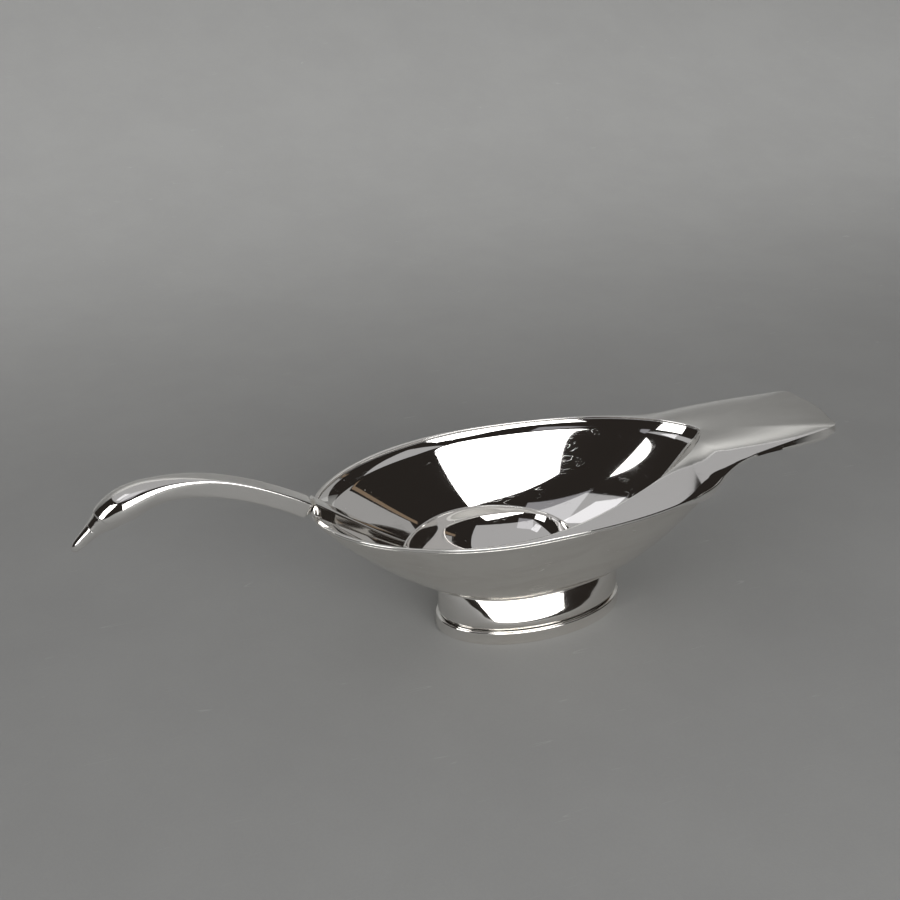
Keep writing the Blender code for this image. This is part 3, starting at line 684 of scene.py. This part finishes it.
def swan_neck_head(material):
    path = neck_path(NECK_STEPS)
    share = np.linspace(0.0, 1.0, len(path))
    thick = through(NECK_HALF_THICKNESS, share)
    wide = thick * mix(NECK_BROAD, 1.0, smooth_step(share / NECK_BROAD_END))
    round_off = (share - NECK_SQUARE_START) / NECK_SQUARE_REACH
    square = mix(NECK_SQUARENESS, 1.0, smooth_step(round_off))
    rings = np.array(sweep(path, wide, thick, square, NECK_SIDES))
    centre = np.stack([path[:, 0], np.zeros(len(path)), path[:, 1]], 1)[:, None, :]
    out = rings - centre
    radius = np.linalg.norm(out, axis=2)
    ahead = np.gradient(path, axis=0)
    ahead /= np.linalg.norm(ahead, axis=1)[:, None]
    upward = out[:, :, 2] * -ahead[:, None, 0] + out[:, :, 0] * ahead[:, None, 1]
    angles = np.arctan2(upward, np.abs(out[:, :, 1]))
    rings = centre + out * (1.0 - head_relief(share, angles) / radius)[:, :, None]
    points, faces = skin([list(map(tuple, ring)) for ring in rings], False)
    item = piece("swan_neck_head_cast", points, faces, material, "swan_neck_head", "ladle")
    close_and_turn_out(item)
    smooth(item, CAST_SHADE_ANGLE)


# ---------------------------------------------------------------- finishes

def add(tree, kind, **settings):
    """A node with its settings; a setting named like a socket fills that socket."""
    node = tree.nodes.new("ShaderNode" + kind)
    for name, value in settings.items():
        socket = node.inputs.get(name.replace("_", " ")) if name[0].isupper() else None
        if socket is None:
            setattr(node, name, value)
        elif hasattr(value, "is_output"):
            tree.links.new(value, socket)
        else:
            socket.default_value = value
    return node


def maths(tree, operation, a, b=0.0, clamp=False):
    node = add(tree, "Math", operation=operation, use_clamp=clamp)
    for socket, value in zip(node.inputs, (a, b)):
        if hasattr(value, "is_output"):
            tree.links.new(value, socket)
        else:
            socket.default_value = value
    return node.outputs[0]


def band(tree, value, low, high, start=0.0, end=1.0):
    """The value carried from low..high to start..end, and held there."""
    node = add(tree, "MapRange", interpolation_type='SMOOTHSTEP', Value=value, From_Min=low,
               From_Max=high, To_Min=start, To_Max=end)
    return node.outputs["Result"]


def new_group(name, takes, gives):
    tree = bpy.data.node_groups.new(name, 'ShaderNodeTree')
    for socket, kind, value in takes:
        made = tree.interface.new_socket(socket, in_out='INPUT', socket_type=kind)
        if value is not None:
            made.default_value = value
    for socket, kind in gives:
        tree.interface.new_socket(socket, in_out='OUTPUT', socket_type=kind)
    return tree, tree.nodes.new("NodeGroupInput"), tree.nodes.new("NodeGroupOutput")


def scratch_layer(tree, place, turn, scale, seed, width, cover):
    """Sparse hairlines: the thin middle contour of a long stretched noise."""
    mapped = add(tree, "Mapping", Vector=place, Location=(seed, 2.0 * seed, 0.5 * seed),
                 Rotation=tuple(math.radians(t) for t in turn), Scale=scale)
    noise = add(tree, "TexNoise", Vector=mapped.outputs["Vector"], Scale=1.0, Detail=0.5)
    line = maths(tree, 'ABSOLUTE', maths(tree, 'SUBTRACT', noise.outputs["Fac"], 0.5))
    thin = band(tree, line, 0.0, width, 1.0, 0.0)
    where = add(tree, "TexNoise", Vector=place, Scale=55.0 + 7.0 * seed, Detail=1.0)
    return maths(tree, 'MULTIPLY', thin, band(tree, where.outputs["Fac"], cover, cover + 0.1))


# Hairlines: turn in degrees, scale, place in the noise, line width, how bare the surface is
HAIRLINES = (
    ((8.0, 20.0, 24.0), (25.0, 420.0, 420.0), 1.3, 0.006, 0.60),
    ((-15.0, 40.0, 70.0), (30.0, 520.0, 520.0), 4.1, 0.005, 0.61),
    ((30.0, -25.0, 130.0), (45.0, 600.0, 600.0), 7.7, 0.006, 0.62))
PIT_CELLS = 330.0
PIT_PICK = (0.93, 0.95)
PIT_SIZE = (0.05, 0.12)
SMUDGE_SCALE = (28.0, 75.0, 120.0)
SMUDGE_TURN = (0.0, 0.12, 0.3)
SMUDGE_BAND = (0.42, 0.72)
TARNISH_BAND = (0.45, 0.75)
WAVE_SCALE = 32.0
WAVE_SHARE = 0.35
TARNISH_SCALE = 19.0
MARK_COLOUR = (0.98, 0.97, 0.95)
MARK_ROUGHNESS = 0.35
SMUDGE_ROUGHNESS = 0.10
SMUDGE_COVER = 0.5
SMUDGE_SHADE = 0.9
SILVER_RELIEF = 0.00012


def table_wear_group():
    """Hairline scratches, pits, wiped smudges and tarnish of used silver plate."""
    tree, takes, gives = new_group(
        "used silver", (("Place", 'NodeSocketVector', None), ("Scratches", 'NodeSocketFloat', 1.0),
                        ("Pits", 'NodeSocketFloat', 1.0), ("Smudges", 'NodeSocketFloat', 1.0)),
        (("Marks", 'NodeSocketFloat'), ("Smudge", 'NodeSocketFloat'), ("Height", 'NodeSocketFloat'),
         ("Tarnish", 'NodeSocketFloat')))
    place = takes.outputs["Place"]
    lines = 0.0
    for layer in HAIRLINES:
        lines = maths(tree, 'MAXIMUM', lines, scratch_layer(tree, place, *layer))
    lines = maths(tree, 'MULTIPLY', lines, takes.outputs["Scratches"])
    cells = add(tree, "TexVoronoi", feature='F1', Vector=place, Scale=PIT_CELLS)
    pick = add(tree, "SeparateColor", Color=cells.outputs["Color"])
    chosen = band(tree, pick.outputs["Red"], *PIT_PICK)
    dot = band(tree, cells.outputs["Distance"], *PIT_SIZE, 1.0, 0.0)
    pits = maths(tree, 'MULTIPLY', maths(tree, 'MULTIPLY', dot, chosen), takes.outputs["Pits"])
    marks = maths(tree, 'MAXIMUM', lines, pits, True)
    wiped = add(tree, "Mapping", Vector=place, Rotation=SMUDGE_TURN, Scale=SMUDGE_SCALE)
    cloud = add(tree, "TexNoise", Vector=wiped.outputs["Vector"], Scale=1.0, Detail=5.0,
                Roughness=0.6, Distortion=0.6)
    smudge = maths(tree, 'MULTIPLY', band(tree, cloud.outputs["Fac"], *SMUDGE_BAND),
                   takes.outputs["Smudges"])
    wave = add(tree, "TexNoise", Vector=place, Scale=WAVE_SCALE, Detail=2.0)
    height = maths(tree, 'SUBTRACT', maths(tree, 'MULTIPLY', wave.outputs["Fac"], WAVE_SHARE), marks)
    dull = add(tree, "TexNoise", Vector=place, Scale=TARNISH_SCALE, Detail=3.0)
    tree.links.new(marks, gives.inputs["Marks"])
    tree.links.new(smudge, gives.inputs["Smudge"])
    tree.links.new(height, gives.inputs["Height"])
    tree.links.new(band(tree, dull.outputs["Fac"], *TARNISH_BAND), gives.inputs["Tarnish"])
    return tree


def blend_colour(tree, share, a, b):
    node = add(tree, "Mix", data_type='RGBA')
    tree.links.new(share, node.inputs[0])
    for socket, value in ((node.inputs[6], a), (node.inputs[7], b)):
        if hasattr(value, "is_output"):
            tree.links.new(value, socket)
        else:
            socket.default_value = (*value, 1.0)
    return node.outputs[2]


def silver(wear, name, colour, dull, roughness, scratches, pits, smudges, relief):
    """Silver plate: its colour clean and tarnished, its polish and how used it is."""
    material = bpy.data.materials.new(name)
    material.use_nodes = True
    tree = material.node_tree
    shader = tree.nodes["Principled BSDF"]
    place = add(tree, "TexCoord").outputs["Object"]
    used = tree.nodes.new("ShaderNodeGroup")
    used.node_tree = wear
    tree.links.new(place, used.inputs["Place"])
    used.inputs["Scratches"].default_value = scratches
    used.inputs["Pits"].default_value = pits
    used.inputs["Smudges"].default_value = smudges
    clean = blend_colour(tree, used.outputs["Tarnish"], colour, dull)
    wiped = blend_colour(tree, maths(tree, 'MULTIPLY', used.outputs["Smudge"], SMUDGE_COVER), clean,
                         tuple(SMUDGE_SHADE * c for c in dull))
    tree.links.new(blend_colour(tree, used.outputs["Marks"], wiped, MARK_COLOUR),
                   shader.inputs["Base Color"])
    rough = maths(tree, 'MULTIPLY_ADD', used.outputs["Marks"], MARK_ROUGHNESS)
    rough.node.inputs[2].default_value = roughness
    smear = maths(tree, 'MULTIPLY_ADD', used.outputs["Smudge"], SMUDGE_ROUGHNESS)
    tree.links.new(rough, smear.node.inputs[2])
    tree.links.new(smear, shader.inputs["Roughness"])
    bumps = add(tree, "Bump", Height=used.outputs["Height"], Strength=relief, Distance=SILVER_RELIEF)
    tree.links.new(bumps.outputs["Normal"], shader.inputs["Normal"])
    shader.inputs["Metallic"].default_value = 1.0
    return material


MOTTLE_SCALE = 14.0
MOTTLE_SHARE = 0.65
TOOTH_SCALE = 900.0
TOOTH_SHARE = 0.35
RUBBED_LINES = ((0.0, 0.0, 62.0), (5.0, 150.0, 150.0), 2.0, 0.004, 0.60)
RUBBED_COVER = 0.35
RUBBED_LIGHTER = 1.5
TOOTH_RELIEF = 0.0002
PAPER_LIGHT = (0.36, 0.36, 0.352)
PAPER_DARK = (0.335, 0.335, 0.328)


def paper(name, light, dark):
    """Matt table card: mottled, with a fine tooth and a few rubbed lines."""
    material = bpy.data.materials.new(name)
    material.use_nodes = True
    tree = material.node_tree
    shader = tree.nodes["Principled BSDF"]
    place = add(tree, "TexCoord").outputs["Object"]
    mottle = add(tree, "TexNoise", Vector=place, Scale=MOTTLE_SCALE, Detail=6.0, Roughness=0.65)
    tooth = add(tree, "TexNoise", Vector=place, Scale=TOOTH_SCALE, Detail=3.0, Roughness=0.7)
    cloud = band(tree, mottle.outputs["Fac"], 0.30, 0.70)
    grain = maths(tree, 'MULTIPLY', band(tree, tooth.outputs["Fac"], 0.3, 0.7), TOOTH_SHARE)
    share = maths(tree, 'MULTIPLY_ADD', cloud, MOTTLE_SHARE)
    tree.links.new(grain, share.node.inputs[2])
    rubbed = scratch_layer(tree, place, *RUBBED_LINES)
    ground = blend_colour(tree, share, dark, light)
    tree.links.new(blend_colour(tree, maths(tree, 'MULTIPLY', rubbed, RUBBED_COVER), ground,
                                tuple(RUBBED_LIGHTER * c for c in light)), shader.inputs["Base Color"])
    bumps = add(tree, "Bump", Height=tooth.outputs["Fac"], Strength=0.25, Distance=TOOTH_RELIEF)
    tree.links.new(bumps.outputs["Normal"], shader.inputs["Normal"])
    shader.inputs["Roughness"].default_value = 0.8
    return material


# ---------------------------------------------------------------- studio

LENS = 48.0
SENSOR = 36.0
CAMERA_PLACE = (-0.16245, -0.40812, 0.31320)
CAMERA_RIGHT = (0.939112, -0.343595, -0.003225)
CAMERA_UP = (0.161343, 0.432655, 0.887005)


def camera():
    data = bpy.data.cameras.new("camera")
    data.lens = LENS
    data.sensor_width = SENSOR
    item = bpy.data.objects.new("camera", data)
    bpy.context.scene.collection.objects.link(item)
    right = Vector(CAMERA_RIGHT)
    up = Vector(CAMERA_UP)
    back = right.cross(up)
    item.matrix_world = Matrix.LocRotScale(
        Vector(CAMERA_PLACE),
        Matrix((right, up, back)).transposed().to_quaternion(), None)
    bpy.context.scene.camera = item


def towards(azimuth, elevation, distance):
    """A point seen from the boat's middle; azimuth 0 is +Y and 90 is +X, in degrees."""
    a, e = math.radians(azimuth), math.radians(elevation)
    return Vector((math.sin(a) * math.cos(e), math.cos(a) * math.cos(e), math.sin(e))) * distance


def softbox(name, centre, width, height, roll, energy, colour):
    """A flat rectangular light that faces the boat and isn't itself in the picture."""
    data = bpy.data.lights.new(name, 'AREA')
    data.shape = 'RECTANGLE'
    data.size = width
    data.size_y = height
    data.energy = energy * width * height
    data.color = colour
    item = bpy.data.objects.new(name, data)
    bpy.context.scene.collection.objects.link(item)
    turn = (Vector((0.0, 0.0, 0.05)) - centre).to_track_quat('-Z', 'Y')
    item.matrix_world = Matrix.Translation(centre) @ turn.to_matrix().to_4x4() @ Matrix.Rotation(
        math.radians(roll), 4, 'Z')
    item.visible_camera = False


SWEEP_START = 0.42
SWEEP_RADIUS = 0.75
SWEEP_TOP = 2.3
TABLE_FRONT = -1.6
TABLE_HALF_WIDTH = 2.2


def paper_sweep(material):
    """Table paper that curves up into the backdrop behind the boat."""
    profile = [(TABLE_FRONT, 0.0)]
    for a in np.linspace(0.0, 0.5 * math.pi, SWEEP_STEPS):
        profile.append((SWEEP_START + SWEEP_RADIUS * math.sin(a), SWEEP_RADIUS * (1.0 - math.cos(a))))
    profile.append((SWEEP_START + SWEEP_RADIUS, SWEEP_TOP))
    points = [(x, y, z) for y, z in profile for x in (-TABLE_HALF_WIDTH, TABLE_HALF_WIDTH)]
    faces = [(2 * i, 2 * i + 1, 2 * i + 3, 2 * i + 2) for i in range(len(profile) - 1)]
    mesh = bpy.data.meshes.new("paper_sweep")
    mesh.from_pydata(points, [], faces)
    mesh.materials.append(material)
    item = bpy.data.objects.new("paper_sweep", mesh)
    bpy.context.scene.collection.objects.link(item)
    smooth(item, CAST_SHADE_ANGLE)


def strip_light(name, centre, facing, depth, spread, energy):
    """A long gridded strip that washes the backdrop and is dark seen from the boat."""
    data = bpy.data.lights.new(name, 'AREA')
    data.shape = 'RECTANGLE'
    data.size = STRIP_LENGTH
    data.size_y = depth
    data.energy = energy * data.size * depth
    data.spread = math.radians(spread)
    item = bpy.data.objects.new(name, data)
    bpy.context.scene.collection.objects.link(item)
    turn = Vector(facing).to_track_quat('-Z', 'Y')
    item.matrix_world = Matrix.LocRotScale(Vector(centre), turn, None)
    item.visible_camera = False


# Name, (azimuth, elevation, distance), width, height, roll, energy for each square metre, colour
SOFTBOXES = (
    ("front_softbox", (176.5, 20.5, 1.2), 1.12, 0.64, 13.0, 13.0, (1.0, 1.0, 1.0)),
    ("side_softbox", (241.0, 21.0, 1.2), 0.44, 0.68, 0.0, 9.0, (1.0, 1.0, 1.0)),
    ("lilac_panel", (212.0, 52.0, 1.25), 0.50, 0.52, 0.0, 0.80, (0.93, 0.93, 1.0)),
    ("pale_panel", (245.0, 56.0, 1.25), 0.27, 0.36, 0.0, 1.7, (0.95, 0.95, 1.0)),
    ("grey_card", (72.0, 21.0, 1.2), 0.67, 0.44, 0.0, 0.92, (1.0, 1.0, 1.0)),
    ("tan_strip", (93.0, 22.0, 1.2), 0.08, 0.44, 0.0, 0.55, (1.0, 0.72, 0.48)))
CEILING_CENTRE = (0.0, 0.1, 2.2)
CEILING_SIZE = 4.2
CEILING_ENERGY = 1.15
CEILING_COLOUR = (1.0, 1.0, 1.02)

# Name, centre, facing, depth, spread in degrees, energy for each square metre
STRIPS = (
    ("wall_strip", (0.0, 0.55, 1.7), (0.0, 1.0, -0.2), 0.5, 180.0, 14.0),
    ("floor_strip", (0.0, 0.66, 1.3), (0.0, 0.0, -1.0), 0.3, 46.0, 2.0))
STRIP_LENGTH = 3.2
DARK_ROOM = (0.020, 0.017, 0.015, 1.0)


def studio():
    world = bpy.data.worlds.new("studio")
    bpy.context.scene.world = world
    world.use_nodes = True
    world.node_tree.nodes["Background"].inputs["Color"].default_value = DARK_ROOM
    paper_sweep(paper("table card", PAPER_LIGHT, PAPER_DARK))
    for name, place, width, height, roll, energy, colour in SOFTBOXES:
        softbox(name, towards(*place), width, height, roll, energy, colour)
    softbox("ceiling", Vector(CEILING_CENTRE), CEILING_SIZE, CEILING_SIZE, 0.0, CEILING_ENERGY,
            CEILING_COLOUR)
    for strip in STRIPS:
        strip_light(*strip)
    bpy.context.scene.view_settings.view_transform = 'Standard'


CLEAN_SILVER = (0.94, 0.925, 0.90)

# Name, clean colour, tarnished colour, roughness, scratches, pits, smudges, relief
SILVERS = (
    ("bright silver plate", CLEAN_SILVER, (0.91, 0.89, 0.85), 0.05, 0.25, 0.15, 0.3, 0.10),
    ("polished bowl inside", CLEAN_SILVER, (0.92, 0.90, 0.87), 0.03, 0.45, 1.0, 0.2, 0.08),
    ("worn silver plate", (0.90, 0.88, 0.84), (0.84, 0.81, 0.76), 0.12, 0.4, 0.3, 1.0, 0.30),
    ("foot silver plate", CLEAN_SILVER, (0.88, 0.85, 0.80), 0.05, 0.3, 0.4, 0.5, 0.15))


def build():
    wear = table_wear_group()
    bright, inside, worn, foot = (silver(wear, *row) for row in SILVERS)
    hull_skin(worn)
    bowl_lining(inside)
    rim_wings_tail_plate(bright)
    foot_base_band(foot)
    foot_wall_ring(foot)
    foot_collar_ring(foot)
    ladle_cup(inside)
    ladle_stem_bar(bright)
    swan_neck_head(bright)
    camera()
    studio()


build()
